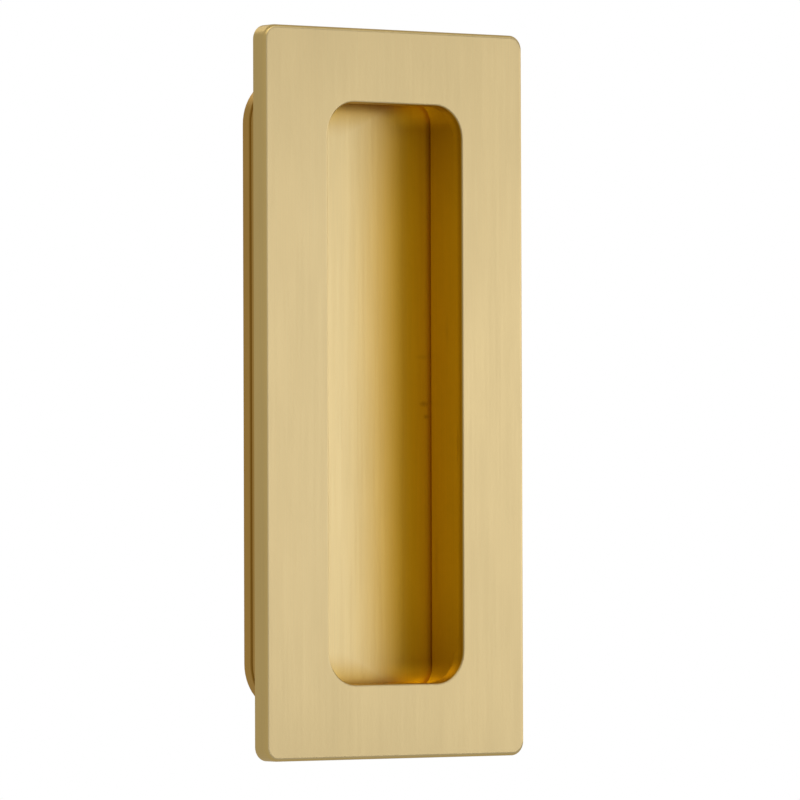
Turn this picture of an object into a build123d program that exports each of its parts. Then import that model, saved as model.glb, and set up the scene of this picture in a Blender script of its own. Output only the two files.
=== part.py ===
from build123d import *
import os

# A rectangular flush pull for a sliding door, in satin brass, in millimetres.
# The front piece is a flat plate with a collar behind its finger opening.
# The rear piece is a flat plate that closes the back of the collar, so that its
# front face is the floor of the recess.
# X runs across the door, Y into the door and Z up. The origin lies in the door's
# surface, at the middle of the front plate's back, so only that plate stands proud.
# Every depth below is measured from the front face.

# The plate that lies on the door
PLATE_WIDTH = 44.5
PLATE_HEIGHT = 101.6
PLATE_THICKNESS = 2.9
PLATE_CORNER_RADIUS = 2.0
PLATE_FRONT_SOFTENING = 0.5
PLATE_BACK_BREAK = 0.15

# The opening for the fingers, through the plate's lip
OPENING_WIDTH = 23.0
OPENING_HEIGHT = 80.8
OPENING_CORNER_RADIUS = 4.5
OPENING_SOFTENING = 0.3
LIP_DEPTH = 2.0

# The recess behind the lip: as wide as the opening, but taller and with tighter corners
END_UNDERCUT = 1.0
RECESS_WIDTH = OPENING_WIDTH
RECESS_HEIGHT = OPENING_HEIGHT + 2 * END_UNDERCUT
RECESS_CORNER_RADIUS = 3.2
RECESS_DEPTH = 7.9

# The collar, which fills the mouth of the pocket in the door
COLLAR_WIDTH = 38.4
COLLAR_HEIGHT = 88.4
COLLAR_CORNER_RADIUS = 6.7
COLLAR_ROOT_RADIUS = 0.4

# The closing plate, and the shadow lines where it meets the collar inside and outside
BACK_PLATE_THICKNESS = 2.1
BACK_PLATE_REAR_RADIUS = 0.5
INNER_JOINT_BREAK = 0.6
OUTER_JOINT_BREAK = 0.3


def plane_at(depth):
    """A sketch plane at a depth below the front face, facing the front."""
    return Plane.XZ.offset(PLATE_THICKNESS - depth)


# The front plate, its front corners softened and its back edges only just broken
with BuildPart() as face_frame:
    with BuildSketch(plane_at(0)):
        RectangleRounded(PLATE_WIDTH, PLATE_HEIGHT, PLATE_CORNER_RADIUS)
    extrude(amount=-PLATE_THICKNESS)
    plate_front = face_frame.faces().sort_by(Axis.Y)[0]
    fillet(plate_front.edges(), PLATE_FRONT_SOFTENING)
    plate_back = face_frame.faces().sort_by(Axis.Y)[-1]
    chamfer(plate_back.edges(), PLATE_BACK_BREAK)

    # The collar stands on the plate's back, with a small radius at its root
    with BuildSketch(plane_at(PLATE_THICKNESS)):
        RectangleRounded(COLLAR_WIDTH, COLLAR_HEIGHT, COLLAR_CORNER_RADIUS)
    extrude(amount=-(RECESS_DEPTH - PLATE_THICKNESS))
    collared_back = face_frame.faces().filter_by(Axis.Y).sort_by(Axis.Y)[-2]
    fillet(collared_back.inner_wires()[0].edges(), COLLAR_ROOT_RADIUS)
    collar_end = face_frame.faces().filter_by(Axis.Y).sort_by(Axis.Y)[-1]
    chamfer(collar_end.edges(), OUTER_JOINT_BREAK)

    # The opening goes through the lip, and the taller recess runs on behind it
    with BuildSketch(plane_at(0)):
        RectangleRounded(OPENING_WIDTH, OPENING_HEIGHT, OPENING_CORNER_RADIUS)
    extrude(amount=-LIP_DEPTH, mode=Mode.SUBTRACT)
    with BuildSketch(plane_at(LIP_DEPTH)):
        RectangleRounded(RECESS_WIDTH, RECESS_HEIGHT, RECESS_CORNER_RADIUS)
    extrude(amount=-(RECESS_DEPTH - LIP_DEPTH), mode=Mode.SUBTRACT)
    opened_front = face_frame.faces().filter_by(Axis.Y).sort_by(Axis.Y)[0]
    fillet(opened_front.inner_wires()[0].edges(), OPENING_SOFTENING)
    collar_end = face_frame.faces().filter_by(Axis.Y).sort_by(Axis.Y)[-1]
    chamfer(collar_end.inner_wires()[0].edges(), INNER_JOINT_BREAK)
face_frame.part.label = "face_frame"

# The closing plate has the collar's own outline
with BuildPart() as back_plate:
    with BuildSketch(plane_at(RECESS_DEPTH)):
        RectangleRounded(COLLAR_WIDTH, COLLAR_HEIGHT, COLLAR_CORNER_RADIUS)
    extrude(amount=-BACK_PLATE_THICKNESS)
    closing_rear = back_plate.faces().sort_by(Axis.Y)[-1]
    fillet(closing_rear.edges(), BACK_PLATE_REAR_RADIUS)
    recess_floor = back_plate.faces().sort_by(Axis.Y)[0]
    chamfer(recess_floor.edges(), OUTER_JOINT_BREAK)
back_plate.part.label = "back_plate"

os.makedirs("parts", exist_ok=True)
export_step(face_frame.part, "parts/face_frame.step")
export_step(back_plate.part, "parts/back_plate.step")
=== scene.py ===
"""Dresses a flush pull in satin brass and sets a plain studio round it.

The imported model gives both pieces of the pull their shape. This script gives each piece its
finish, and adds the floor, the light and the camera. Lengths are in metres unless a name ends
in mm. X runs across the pull, Y into the door and Z up, and the origin lies in the door's
surface, behind the middle of the front plate.
"""

import logging
import math
from dataclasses import dataclass
from enum import Enum
from typing import Any, Mapping

import bmesh
import bpy
from mathutils import Matrix, Vector


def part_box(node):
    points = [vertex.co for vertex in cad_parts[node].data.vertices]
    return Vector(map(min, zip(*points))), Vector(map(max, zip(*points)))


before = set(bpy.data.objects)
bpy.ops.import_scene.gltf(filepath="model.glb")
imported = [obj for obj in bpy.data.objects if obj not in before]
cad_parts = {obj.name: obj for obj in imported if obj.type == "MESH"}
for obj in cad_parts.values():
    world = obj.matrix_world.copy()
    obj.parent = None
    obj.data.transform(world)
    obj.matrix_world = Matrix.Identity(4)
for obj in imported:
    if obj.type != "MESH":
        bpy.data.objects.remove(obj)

MM = 0.001
LOG = logging.getLogger("flush_pull")

Socket = bpy.types.NodeSocket
Colour = tuple[float, float, float, float]


class Slot(Enum):
    """The record's material slots."""

    BRUSHED = "brushed_brass"
    BACK = "back_brass"


def linear(code: str) -> Colour:
    """Turns an sRGB hex colour into linear light.

    Args:
        code: The colour as "#rrggbb".

    Returns:
        Red, green, blue and an alpha of 1, as a shader takes them.
    """
    parts = [int(code[i:i + 2], 16) / 255 for i in (1, 3, 5)]
    red, green, blue = (
        p / 12.92 if p <= 0.04045 else ((p + 0.055) / 1.055) ** 2.4 for p in parts
    )
    return red, green, blue, 1.0


def add_node(
    tree: bpy.types.NodeTree,
    kind: str,
    inputs: Mapping[str | int, Any] | None = None,
    **settings: Any,
) -> bpy.types.Node:
    """Adds one node, with its settings, its constants and its links.

    Args:
        tree: The node tree that takes the node.
        kind: The node's type, without the leading "ShaderNode".
        inputs: A value or another node's output for each input, by name or number.
        settings: The node's own attributes, such as operation.

    Returns:
        The new node.
    """
    node = tree.nodes.new("ShaderNode" + kind)
    for name, value in settings.items():
        setattr(node, name, value)
    for key, value in (inputs or {}).items():
        if isinstance(value, bpy.types.NodeSocket):
            tree.links.new(value, node.inputs[key])
        else:
            node.inputs[key].default_value = value
    return node


def new_tree(owner: bpy.types.Material | bpy.types.World) -> bpy.types.NodeTree:
    """Empties a material's or a world's node tree.

    Args:
        owner: The material or world.

    Returns:
        Its empty tree.
    """
    owner.use_nodes = True
    owner.node_tree.nodes.clear()
    return owner.node_tree


@dataclass(frozen=True)
class Recess:
    """The finger recess, as the finishes need it."""

    width_mm: float = 23.0
    height_mm: float = 82.8

    @property
    def front_mm(self) -> float:
        """Where the front face lies along Y."""
        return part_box("face_frame")[0].y / MM

    @property
    def joint_mm(self) -> float:
        """Where the closing plate meets the collar along Y."""
        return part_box("back_plate")[0].y / MM


@dataclass(frozen=True)
class Smudge:
    """A small dark mark left by the brazing or by the cutter.

    Args:
        place_mm: Its middle.
        width_mm: Half its size across and in depth.
        height_mm: Half its size along the height.
        strength: How dark it is, from 0 to 1.
    """

    place_mm: tuple[float, float, float]
    width_mm: float
    height_mm: float
    strength: float


@dataclass(frozen=True)
class SatinBrass:
    """Lacquered brass, rubbed along its height on a fine belt.

    To the eye it is pale gold with blurred reflections and faint upright hair lines. In the
    recess and round the back its gold is deeper and has less blue, which is painted shade and
    bounce light, and a brown, tarnished line lies in the joint.
    """

    name: str
    slot: Slot
    recess: Recess = Recess()
    pale: str = "#e1ca96"
    # painted shade and bounce light: the deep gold of the recess
    deep: str = "#e1bb1e"
    # painted shade at the recess's ends
    end_shade_gold: str = "#d0a91a"
    # painted glow in the recess's end corners
    corner_glow_gold: str = "#ffd42c"
    flank: str = "#e1c27a"
    # painted shade: the deeper gold behind the front plate
    rear_shade_gold: str = "#c79c4c"
    # the brown of tarnished metal in the joint and the smudges, which also paints shade by the
    # opening's edge
    tarnish_and_shade: str = "#8c5f08"
    outer_tarnish: float = 0.85
    roughness: float = 0.38
    roughness_spread: float = 0.03
    anisotropy: float = 0.8
    # a belt's real lines are under 0.05 mm wide, so they are drawn coarser here in order to show
    hair_width_mm: float = 0.30
    hair_length_mm: float = 18.0
    hair_contrast: float = 0.03
    hair_height_mm: float = 0.0008
    cloud_width_mm: float = 9.0
    cloud_length_mm: float = 26.0
    cloud_contrast: float = 0.035
    streak_detail: float = 3.0
    streak_roughness: float = 0.6
    streak_low: float = 0.3
    streak_high: float = 0.7
    # painted shade: the deep gold darkens along the height, between these two distances from its
    # own middle
    deep_middle_mm: float = -1.5
    end_from_mm: float = 22.0
    end_to_mm: float = 42.0
    # painted glow: it brightens in the corners, past these distances to each side and towards each
    # end
    corner_side_from_mm: float = 2.5
    corner_side_to_mm: float = 8.0
    corner_end_from_mm: float = 37.2
    corner_end_to_mm: float = 39.8
    smudges: tuple[Smudge, ...] = ()

    def gold(self, tree: bpy.types.NodeTree, place: Socket) -> Socket:
        """Each piece's own gold before the hair lines, by the place in millimetres."""
        raise NotImplementedError

    def tarnish_and_shade_share(self, tree: bpy.types.NodeTree, place: Socket) -> Socket:
        """Each piece's own share of tarnished metal and painted shade, from 0 to 1, by the place
        in millimetres.
        """
        raise NotImplementedError

    def streaks(
        self, tree: bpy.types.NodeTree, place: Socket, width_mm: float, length_mm: float
    ) -> Socket:
        """Draws upright streaks.

        Args:
            tree: The material's node tree.
            place: The place on the piece, in millimetres.
            width_mm: How far apart the streaks lie.
            length_mm: How long they run along the height.

        Returns:
            A value that is 0.5 on average.
        """
        upright = (1 / width_mm, 1 / width_mm, 1 / length_mm)
        stretched = add_node(tree, "VectorMath", {0: place, 1: upright}, operation="MULTIPLY")
        noise = add_node(tree, "TexNoise", {
            "Vector": stretched.outputs[0],
            "Scale": 1.0,
            "Detail": self.streak_detail,
            "Roughness": self.streak_roughness,
        })
        return noise.outputs["Fac"]

    def deep_gold(self, tree: bpy.types.NodeTree, place: Socket) -> Socket:
        """The deep gold of the recess, with painted shade at its ends and a painted glow in their
        corners.

        Args:
            tree: The material's node tree.
            place: The place on the piece, in millimetres.

        Returns:
            The colour.
        """
        axes = add_node(tree, "SeparateXYZ", {0: place})
        along = add_node(tree, "Math", {0: axes.outputs["Z"], 1: self.deep_middle_mm},
                         operation="SUBTRACT")
        size = add_node(tree, "Math", {0: along.outputs[0]}, operation="ABSOLUTE")
        # painted shade towards the recess's ends
        at_end = add_node(tree, "MapRange", {
            "Value": size.outputs[0],
            "From Min": self.end_from_mm,
            "From Max": self.end_to_mm,
        }, interpolation_type="SMOOTHSTEP")
        shaded = add_node(tree, "Mix", {
            0: at_end.outputs[0],
            6: linear(self.deep),
            7: linear(self.end_shade_gold),
        }, data_type="RGBA")
        spread = add_node(tree, "VectorMath", {0: place}, operation="ABSOLUTE")
        sizes = add_node(tree, "SeparateXYZ", {0: spread.outputs[0]})
        # painted glow in the end corners
        at_side = add_node(tree, "MapRange", {
            "Value": sizes.outputs["X"],
            "From Min": self.corner_side_from_mm,
            "From Max": self.corner_side_to_mm,
        }, interpolation_type="SMOOTHSTEP")
        corner = add_node(tree, "MapRange", {
            "Value": sizes.outputs["Z"],
            "From Min": self.corner_end_from_mm,
            "From Max": self.corner_end_to_mm,
            "To Max": at_side.outputs[0],
        }, interpolation_type="SMOOTHSTEP")
        return add_node(tree, "Mix", {
            0: corner.outputs[0],
            6: shaded.outputs[2],
            7: linear(self.corner_glow_gold),
        }, data_type="RGBA").outputs[2]

    def smudged(self, tree: bpy.types.NodeTree, place: Socket, share: Socket) -> Socket:
        """Adds the smudges to the tarnish.

        Args:
            tree: The material's node tree.
            place: The place on the piece, in millimetres.
            share: The share of tarnished metal and painted shade so far, from 0 to 1.

        Returns:
            The share of tarnished metal and painted shade, with the smudges.
        """
        for smudge in self.smudges:
            away = add_node(tree, "VectorMath", {0: place, 1: smudge.place_mm},
                            operation="SUBTRACT")
            sizes = (1 / smudge.width_mm, 1 / smudge.width_mm, 1 / smudge.height_mm)
            reach = add_node(tree, "VectorMath", {0: away.outputs[0], 1: sizes},
                             operation="MULTIPLY")
            length = add_node(tree, "VectorMath", {0: reach.outputs[0]}, operation="LENGTH")
            mark = add_node(tree, "MapRange", {
                "Value": length.outputs["Value"],
                "From Min": 1.0,
                "From Max": 0.0,
                "To Max": smudge.strength,
            }, interpolation_type="SMOOTHSTEP")
            share = add_node(tree, "Math", {0: share, 1: mark.outputs[0]},
                             operation="MAXIMUM").outputs[0]
        return share

    def material(self) -> bpy.types.Material:
        """Builds the material.

        Returns:
            The new material.
        """
        made = bpy.data.materials.new(self.name)
        tree = new_tree(made)
        metres = add_node(tree, "TexCoord").outputs["Object"]
        scaled = add_node(tree, "VectorMath", {0: metres, "Scale": 1 / MM}, operation="SCALE")
        place = scaled.outputs[0]
        hairs = self.streaks(tree, place, self.hair_width_mm, self.hair_length_mm)
        clouds = self.streaks(tree, place, self.cloud_width_mm, self.cloud_length_mm)

        # each pattern lightens and darkens the gold a little on both sides of its own colour
        tones = [
            add_node(tree, "MapRange", {
                "Value": pattern,
                "From Min": self.streak_low,
                "From Max": self.streak_high,
                "To Min": 1 - contrast,
                "To Max": 1 + contrast,
            })
            for pattern, contrast in ((hairs, self.hair_contrast), (clouds, self.cloud_contrast))
        ]
        tone = add_node(tree, "Math", {0: tones[0].outputs[0], 1: tones[1].outputs[0]},
                        operation="MULTIPLY")
        toned = add_node(tree, "VectorMath",
                         {0: self.gold(tree, place), "Scale": tone.outputs[0]},
                         operation="SCALE")
        colour = add_node(tree, "Mix", {
            0: self.smudged(tree, place, self.tarnish_and_shade_share(tree, place)),
            6: toned.outputs[0],
            7: linear(self.tarnish_and_shade),
        }, data_type="RGBA")
        rough = add_node(tree, "MapRange", {
            "Value": hairs,
            "From Min": self.streak_low,
            "From Max": self.streak_high,
            "To Min": self.roughness - self.roughness_spread,
            "To Max": self.roughness + self.roughness_spread,
        })
        bump = add_node(tree, "Bump", {
            "Height": hairs,
            "Distance": self.hair_height_mm * MM,
            "Strength": 1.0,
        })

        # upright grooves spread a reflection sideways, so the tangent runs level round the piece,
        # and the small step gives it a length on a surface that looks straight up or down too
        normal = add_node(tree, "NewGeometry").outputs["Normal"]
        round_z = add_node(tree, "VectorMath", {0: normal, 1: (0.0, 0.0, 1.0)},
                           operation="CROSS_PRODUCT")
        level = add_node(tree, "VectorMath", {0: round_z.outputs[0], 1: (0.001, 0.0, 0.0)},
                         operation="ADD")
        shader = add_node(tree, "BsdfPrincipled", {
            "Base Color": colour.outputs[2],
            "Metallic": 1.0,
            "Roughness": rough.outputs[0],
            "Anisotropic": self.anisotropy,
            "Tangent": level.outputs[0],
            "Normal": bump.outputs[0],
        })
        add_node(tree, "OutputMaterial", {"Surface": shader.outputs[0]})
        return made


@dataclass(frozen=True)
class FrameBrass(SatinBrass):
    """The face frame's brass: pale front, deeper edges, painted shade on the walls and collar."""

    # painted glow in the recess's end corners
    corner_glow_gold: str = "#e6bb22"
    edge_fade_mm: float = 0.2
    side_fade_mm: float = 0.08
    # the plate's back lies at 0, so the painted shade behind it begins just before it
    rear_from_mm: float = -0.08
    # the collar's outside lies more than this many times as far out as the recess's wall
    inside_reach: float = 1.06
    joint_line_mm: float = 0.55
    inner_tarnish: float = 0.4
    # a soft shade lies just inside the opening's right edge
    edge_shade: float = 0.55
    edge_shade_from_mm: float = 4.0
    edge_shade_to_mm: float = 11.0
    edge_shade_start_mm: float = 0.06
    edge_shade_full_mm: float = 0.15
    edge_shade_depth_mm: float = 1.3
    smudges: tuple[Smudge, ...] = (
        Smudge((11.5, -1.9, -7.0), width_mm=0.5, height_mm=4.5, strength=0.28),
        Smudge((11.5, 0.6, 9.0), width_mm=0.7, height_mm=3.0, strength=0.12),
        Smudge((11.5, 3.4, -24.0), width_mm=0.8, height_mm=6.0, strength=0.14),
    )

    def gold(self, tree: bpy.types.NodeTree, place: Socket) -> Socket:
        """The front is pale, the edges a little deeper, and the recess and back hold painted
        shade.

        Args:
            tree: The material's node tree.
            place: The place on the piece, in millimetres.

        Returns:
            The colour.
        """
        axes = add_node(tree, "SeparateXYZ", {0: place})
        front = self.recess.front_mm
        off_front = add_node(tree, "MapRange", {
            "Value": axes.outputs["Y"],
            "From Min": front,
            "From Max": front + self.edge_fade_mm,
        }, interpolation_type="SMOOTHSTEP")
        # the walls behind the front edge take the deep gold, as painted shade of the recess
        walls = add_node(tree, "Mix", {
            0: off_front.outputs[0],
            6: linear(self.pale),
            7: self.deep_gold(tree, place),
        }, data_type="RGBA")
        on_side = add_node(tree, "MapRange", {
            "Value": axes.outputs["Y"],
            "From Min": front,
            "From Max": front + self.side_fade_mm,
        }, interpolation_type="SMOOTHSTEP")
        edges = add_node(tree, "Mix", {
            0: on_side.outputs[0],
            6: linear(self.pale),
            7: linear(self.flank),
        }, data_type="RGBA")
        # painted shade behind the front plate, on the collar and the back
        behind = add_node(tree, "Math", {0: axes.outputs["Y"], 1: self.rear_from_mm},
                          operation="GREATER_THAN")
        outside = add_node(tree, "Mix", {
            0: behind.outputs[0],
            6: edges.outputs[2],
            7: linear(self.rear_shade_gold),
        }, data_type="RGBA")
        return add_node(tree, "Mix", {
            0: self.inside(tree, place),
            6: outside.outputs[2],
            7: walls.outputs[2],
        }, data_type="RGBA").outputs[2]

    def inside(self, tree: bpy.types.NodeTree, place: Socket) -> Socket:
        """Tells the recess from the collar's outside.

        Args:
            tree: The material's node tree.
            place: The place on the piece, in millimetres.

        Returns:
            A value that is 1 in the recess and 0 outside the collar.
        """
        sizes = add_node(tree, "VectorMath", {0: place}, operation="ABSOLUTE")
        halves = (2 / self.recess.width_mm, 0.0, 2 / self.recess.height_mm)
        reach = add_node(tree, "VectorMath", {0: sizes.outputs[0], 1: halves},
                         operation="MULTIPLY")
        shares = add_node(tree, "SeparateXYZ", {0: reach.outputs[0]})
        furthest = add_node(tree, "Math", {0: shares.outputs["X"], 1: shares.outputs["Z"]},
                            operation="MAXIMUM")
        return add_node(tree, "Math", {0: furthest.outputs[0], 1: self.inside_reach},
                        operation="LESS_THAN").outputs[0]

    def tarnish_and_shade_share(self, tree: bpy.types.NodeTree, place: Socket) -> Socket:
        """Tarnish lies at the closing plate's joint, and painted shade inside the opening's right
        edge.

        Args:
            tree: The material's node tree.
            place: The place on the piece, in millimetres.

        Returns:
            A value from 0 to 1.
        """
        axes = add_node(tree, "SeparateXYZ", {0: place})
        inside = self.inside(tree, place)
        strength = add_node(tree, "MapRange", {
            "Value": inside,
            "To Min": self.outer_tarnish,
            "To Max": self.inner_tarnish,
        })
        seam = add_node(tree, "MapRange", {
            "Value": axes.outputs["Y"],
            "From Min": self.recess.joint_mm - self.joint_line_mm,
            "From Max": self.recess.joint_mm,
            "To Max": strength.outputs[0],
        }, interpolation_type="SMOOTHSTEP")
        front = self.recess.front_mm
        # painted shade just inside the opening's right edge, in the tarnished brown
        right = add_node(tree, "MapRange", {
            "Value": axes.outputs["X"],
            "From Min": self.edge_shade_from_mm,
            "From Max": self.edge_shade_to_mm,
            "To Max": self.edge_shade,
        })
        below = add_node(tree, "MapRange", {
            "Value": axes.outputs["Y"],
            "From Min": front,
            "From Max": front + self.edge_shade_start_mm,
            "To Max": right.outputs[0],
        })
        edge = add_node(tree, "MapRange", {
            "Value": axes.outputs["Y"],
            "From Min": front + self.edge_shade_depth_mm,
            "From Max": front + self.edge_shade_full_mm,
            "To Max": below.outputs[0],
        }, interpolation_type="SMOOTHSTEP")
        kept = add_node(tree, "Math", {0: edge.outputs[0], 1: inside}, operation="MULTIPLY")
        return add_node(tree, "Math", {0: seam.outputs[0], 1: kept.outputs[0]},
                        operation="MAXIMUM").outputs[0]


@dataclass(frozen=True)
class PlateBrass(SatinBrass):
    """The closing plate's brass: pale painted light mid-floor, deep gold painted shade by the
    walls.
    """

    # painted light: the open floor's pale, brighter than the front's
    pale: str = "#f3dba2"
    # painted shade: the deep gold by the walls and the darker gold at the ends
    deep: str = "#e1b01c"
    end_shade_gold: str = "#d0a018"
    # painted light and shade: palest a little left of the floor's middle, deep gold past the walls
    pale_middle_mm: float = -5.0
    pale_half_mm: float = 0.5
    deep_half_mm: float = 14.0
    # painted shade: the floor darkens towards its ends
    floor_end_from_mm: float = 35.5
    floor_end_to_mm: float = 41.8
    floor_end_shade_share: float = 0.85
    past_joint_mm: float = 0.02
    seam_full_mm: float = 0.1
    seam_end_mm: float = 0.4
    smudges: tuple[Smudge, ...] = (
        Smudge((10.6, 5.0, -1.2), width_mm=1.1, height_mm=0.6, strength=0.4),
        Smudge((11.0, 5.0, -3.0), width_mm=0.7, height_mm=0.5, strength=0.4),
        Smudge((10.3, 5.0, 5.4), width_mm=1.6, height_mm=0.5, strength=0.15),
    )

    def behind_floor(self, tree: bpy.types.NodeTree, place: Socket) -> Socket:
        """Tells the recess's floor from the plate's other sides.

        Args:
            tree: The material's node tree.
            place: The place on the piece, in millimetres.

        Returns:
            A value that is 0 on the floor and 1 behind it.
        """
        axes = add_node(tree, "SeparateXYZ", {0: place})
        return add_node(tree, "Math", {
            0: axes.outputs["Y"],
            1: self.recess.joint_mm + self.past_joint_mm,
        }, operation="GREATER_THAN").outputs[0]

    def gold(self, tree: bpy.types.NodeTree, place: Socket) -> Socket:
        """The floor's gold deepens towards the walls and ends as painted shade; sides and back are
        plain.

        Args:
            tree: The material's node tree.
            place: The place on the piece, in millimetres.

        Returns:
            The colour.
        """
        axes = add_node(tree, "SeparateXYZ", {0: place})
        across = add_node(tree, "Math", {0: axes.outputs["X"], 1: self.pale_middle_mm},
                          operation="SUBTRACT")
        size = add_node(tree, "Math", {0: across.outputs[0]}, operation="ABSOLUTE")
        # painted light and shade across the floor
        near_wall = add_node(tree, "MapRange", {
            "Value": size.outputs[0],
            "From Min": self.pale_half_mm,
            "From Max": self.deep_half_mm,
        }, interpolation_type="SMOOTHSTEP")
        height = add_node(tree, "Math", {0: axes.outputs["Z"]}, operation="ABSOLUTE")
        near_end = add_node(tree, "MapRange", {
            "Value": height.outputs[0],
            "From Min": self.floor_end_from_mm,
            "From Max": self.floor_end_to_mm,
            "To Max": self.floor_end_shade_share,
        }, interpolation_type="SMOOTHSTEP")
        near_edge = add_node(tree, "Math", {0: near_wall.outputs[0], 1: near_end.outputs[0]},
                             operation="MAXIMUM")
        floor = add_node(tree, "Mix", {
            0: near_edge.outputs[0],
            6: linear(self.pale),
            7: self.deep_gold(tree, place),
        }, data_type="RGBA")
        # painted shade on the plate's sides and back
        return add_node(tree, "Mix", {
            0: self.behind_floor(tree, place),
            6: floor.outputs[2],
            7: linear(self.rear_shade_gold),
        }, data_type="RGBA").outputs[2]

    def tarnish_and_shade_share(self, tree: bpy.types.NodeTree, place: Socket) -> Socket:
        """Tarnish lies in the outer edge that meets the collar.

        Args:
            tree: The material's node tree.
            place: The place on the piece, in millimetres.

        Returns:
            A value from 0 to 1.
        """
        axes = add_node(tree, "SeparateXYZ", {0: place})
        line = add_node(tree, "MapRange", {
            "Value": axes.outputs["Y"],
            "From Min": self.recess.joint_mm + self.seam_end_mm,
            "From Max": self.recess.joint_mm + self.seam_full_mm,
            "To Max": self.outer_tarnish,
        }, interpolation_type="SMOOTHSTEP")
        return add_node(tree, "Math", {0: self.behind_floor(tree, place), 1: line.outputs[0]},
                        operation="MULTIPLY").outputs[0]


@dataclass
class Piece:
    """A piece of the pull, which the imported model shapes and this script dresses."""

    node: str
    finish: SatinBrass

    def dress(self) -> None:
        """Gives the node its brass."""
        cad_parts[self.node].material_slots[0].material = self.finish.material()
        LOG.info("%s dressed in %s", self.node, self.finish.slot.value)


@dataclass
class FaceFrame(Piece):
    """The front plate with its collar."""

    node: str = "face_frame"
    finish: SatinBrass = FrameBrass("satin brass, belt brushed and lacquered", Slot.BRUSHED)


@dataclass
class BackPlate(Piece):
    """The flat plate that closes the recess."""

    node: str = "back_plate"
    finish: SatinBrass = PlateBrass("satin brass, rubbed by hand and lacquered", Slot.BACK)


@dataclass(frozen=True)
class Softbox:
    """A lamp behind white cloth, which looks at the pull.

    Args:
        name: The lamp's name.
        azimuth_deg: Its turn from straight in front, to the left of the pull as it is faced.
        rise_deg: Its height above the level of the pull, as an angle.
        distance: How far it stands from the pull.
        width: The cloth's width.
        height: The cloth's height.
        level: How bright the cloth looks, where 1 is white.
    """

    name: str
    azimuth_deg: float
    rise_deg: float
    distance: float
    width: float
    height: float
    level: float

    def hang(self) -> bpy.types.Object:
        """Hangs the softbox.

        Returns:
            The lamp.
        """
        data = bpy.data.lights.new(self.name, "AREA")
        data.shape = "RECTANGLE"
        data.size = self.width
        data.size_y = self.height
        # a watt on each square metre of the cloth makes it look 1/pi bright
        data.energy = self.level * math.pi * self.width * self.height
        lamp = bpy.data.objects.new(self.name, data)
        bpy.context.scene.collection.objects.link(lamp)
        turn, rise = math.radians(self.azimuth_deg), math.radians(self.rise_deg)
        place = self.distance * Vector((
            -math.sin(turn) * math.cos(rise),
            -math.cos(turn) * math.cos(rise),
            math.sin(rise),
        ))
        facing = (-place).to_track_quat("-Z", "Y").to_matrix().to_4x4()
        lamp.matrix_world = Matrix.Translation(place) @ facing
        LOG.info("%s hung", self.name)
        return lamp


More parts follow.
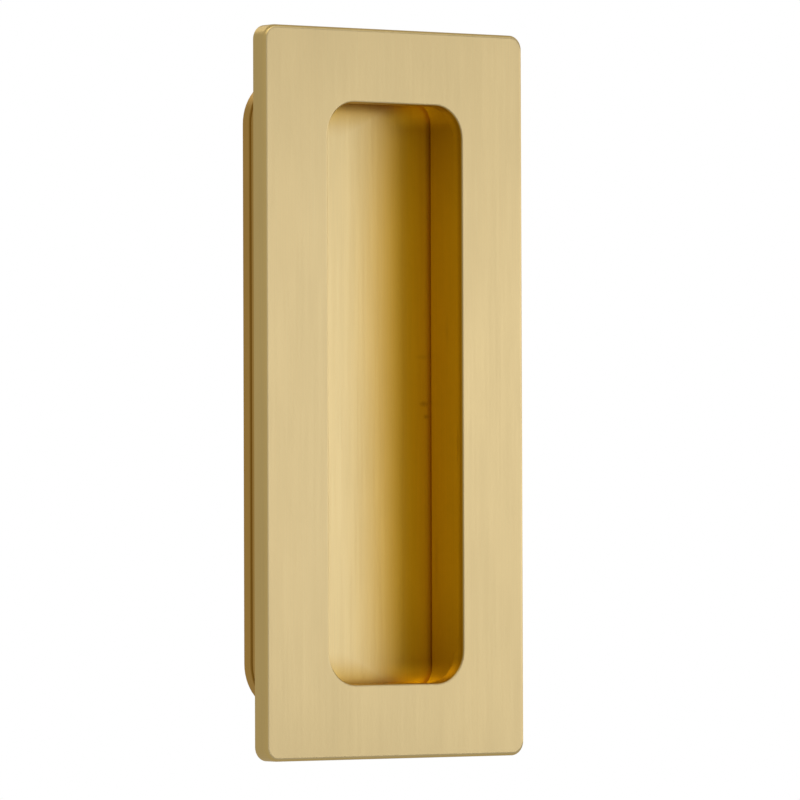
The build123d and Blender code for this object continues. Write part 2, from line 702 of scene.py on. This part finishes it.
@dataclass
class Studio:
    """A pale floor under a tent of glowing cloth, with three softboxes inside it."""

    white: str = "#ffffff"
    card: str = "#f4f3f0"
    floor_z: float = -0.11
    floor_radius: float = 0.5
    floor_sides: int = 96
    floor_glow: float = 0.46
    tent_radius: float = 1.6
    tent_segments: int = 48
    tent_rings: int = 24
    tent_level: float = 0.5
    softboxes: tuple[Softbox, ...] = (
        Softbox("side_softbox", azimuth_deg=-57.0, rise_deg=0.7, distance=1.2, width=1.2,
                height=0.3, level=1.27),
        Softbox("top_softbox", azimuth_deg=5.0, rise_deg=42.0, distance=0.8, width=0.45,
                height=0.45, level=1.5),
        Softbox("back_softbox", azimuth_deg=178.0, rise_deg=38.0, distance=0.9, width=0.6,
                height=0.35, level=0.85),
    )

    def link(
        self, name: str, mesh: bmesh.types.BMesh, material: bpy.types.Material
    ) -> bpy.types.Object:
        """Makes a stage object from a finished bmesh.

        Args:
            name: The object's name.
            mesh: The shape, which is freed here.
            material: What it is made of.

        Returns:
            The new object.
        """
        data = bpy.data.meshes.new(name)
        mesh.to_mesh(data)
        mesh.free()
        data.materials.append(material)
        made = bpy.data.objects.new(name, data)
        bpy.context.scene.collection.objects.link(made)
        LOG.info("%s placed", name)
        return made

    def seen(self, tree: bpy.types.NodeTree) -> Socket:
        """Tells a look at the background from the light that falls on the object.

        Args:
            tree: The node tree of the floor or the world.

        Returns:
            A value that is 1 where the camera, metal or glass looks, and 0 for other light.
        """
        path = add_node(tree, "LightPath").outputs
        seen = add_node(tree, "Math", {0: path["Is Camera Ray"], 1: path["Is Glossy Ray"]},
                        operation="MAXIMUM")
        return add_node(tree, "Math", {0: seen.outputs[0], 1: path["Is Transmission Ray"]},
                        operation="MAXIMUM").outputs[0]

    def build_floor(self) -> bpy.types.Object:
        """Lays the floor.

        Returns:
            The floor.
        """
        # matt card gives a soft shadow and no shine, and its glow carries it to the white round it
        material = bpy.data.materials.new("pale card, matt")
        tree = new_tree(material)
        matt = add_node(tree, "BsdfDiffuse", {"Color": linear(self.card)})
        strength = add_node(tree, "Math", {0: self.seen(tree), 1: self.floor_glow},
                            operation="MULTIPLY")
        glow = add_node(tree, "Emission", {
            "Color": linear(self.white),
            "Strength": strength.outputs[0],
        })
        both = add_node(tree, "AddShader", {0: matt.outputs[0], 1: glow.outputs[0]})
        add_node(tree, "OutputMaterial", {"Surface": both.outputs[0]})
        shape = bmesh.new()
        bmesh.ops.create_circle(shape, cap_ends=True, segments=self.floor_sides,
                                radius=self.floor_radius,
                                matrix=Matrix.Translation((0, 0, self.floor_z)))
        floor = self.link("floor", shape, material)
        # the metal mirrors the grey tent below it and not this card, or its lower edges turn white
        floor.visible_glossy = False
        return floor

    def build_tent(self) -> bpy.types.Object:
        """Hangs the tent, which the metal sees and the camera doesn't.

        Returns:
            The tent.
        """
        # thin cloth with lamps outside it glows evenly, so metal that mirrors it has an even tone
        material = bpy.data.materials.new("white nylon cloth, lit from outside")
        tree = new_tree(material)
        glow = add_node(tree, "Emission", {
            "Color": linear(self.white),
            "Strength": self.tent_level,
        })
        add_node(tree, "OutputMaterial", {"Surface": glow.outputs[0]})
        shape = bmesh.new()
        bmesh.ops.create_uvsphere(shape, u_segments=self.tent_segments,
                                  v_segments=self.tent_rings, radius=self.tent_radius)
        tent = self.link("tent", shape, material)
        tent.visible_camera = False
        return tent

    def build_world(self) -> None:
        """Makes the white background, which the camera, metal and glass see."""
        world = bpy.data.worlds.new("white studio")
        tree = new_tree(world)
        strength = add_node(tree, "MapRange", {
            "Value": self.seen(tree),
            "To Min": self.tent_level,
            "To Max": 1.0,
        })
        backdrop = add_node(tree, "Background", {
            "Color": linear(self.white),
            "Strength": strength.outputs[0],
        })
        add_node(tree, "OutputWorld", {"Surface": backdrop.outputs[0]})
        bpy.context.scene.world = world
        bpy.context.scene.view_settings.view_transform = "Standard"

    def build(self) -> None:
        """Builds the floor, the tent, the softboxes and the background."""
        self.build_floor()
        self.build_tent()
        for softbox in self.softboxes:
            softbox.hang()
        self.build_world()


@dataclass
class Viewpoint:
    """The camera, to the left of the pull and a little below its middle."""

    turn_deg: float = 36.2
    rise_deg: float = 1.05
    roll_deg: float = -0.185
    distance: float = 0.976
    lens_mm: float = 314.4
    sensor_mm: float = 36.0
    nearest: float = 0.01
    picture_px: int = 800
    origin_px: tuple[float, float] = (383.9, 394.2)

    def build(self) -> bpy.types.Object:
        """Makes the camera and sets it as the scene's.

        Returns:
            The camera object.
        """
        turn, rise, roll = map(math.radians, (self.turn_deg, self.rise_deg, self.roll_deg))
        ahead = Vector((
            math.sin(turn) * math.cos(rise),
            math.cos(turn) * math.cos(rise),
            math.sin(rise),
        ))
        level = Vector((math.cos(turn), -math.sin(turn), 0.0))
        over = level.cross(ahead)
        right = level * math.cos(roll) + over * math.sin(roll)
        up = over * math.cos(roll) - level * math.sin(roll)
        # the pull's origin lies a little off the middle of the picture
        focal_px = self.lens_mm / self.sensor_mm * self.picture_px
        across = (self.origin_px[0] - self.picture_px / 2) / focal_px * self.distance
        above = (self.picture_px / 2 - self.origin_px[1]) / focal_px * self.distance
        place = -(ahead * self.distance + right * across + up * above)
        data = bpy.data.cameras.new("camera")
        data.lens = self.lens_mm
        data.sensor_width = self.sensor_mm
        data.clip_start = self.nearest
        camera = bpy.data.objects.new("camera", data)
        bpy.context.scene.collection.objects.link(camera)
        camera.matrix_world = Matrix((
            (right.x, up.x, -ahead.x, place.x),
            (right.y, up.y, -ahead.y, place.y),
            (right.z, up.z, -ahead.z, place.z),
            (0.0, 0.0, 0.0, 1.0),
        ))
        bpy.context.scene.camera = camera
        LOG.info("camera placed")
        return camera


def main() -> None:
    """Dresses both pieces, then builds the studio and the camera."""
    logging.basicConfig(level=logging.INFO, format="%(name)s: %(message)s")
    bpy.context.view_layer.update()
    FaceFrame().dress()
    BackPlate().dress()
    Studio().build()
    Viewpoint().build()
    bpy.context.view_layer.update()


if __name__ == "__main__":
    main()
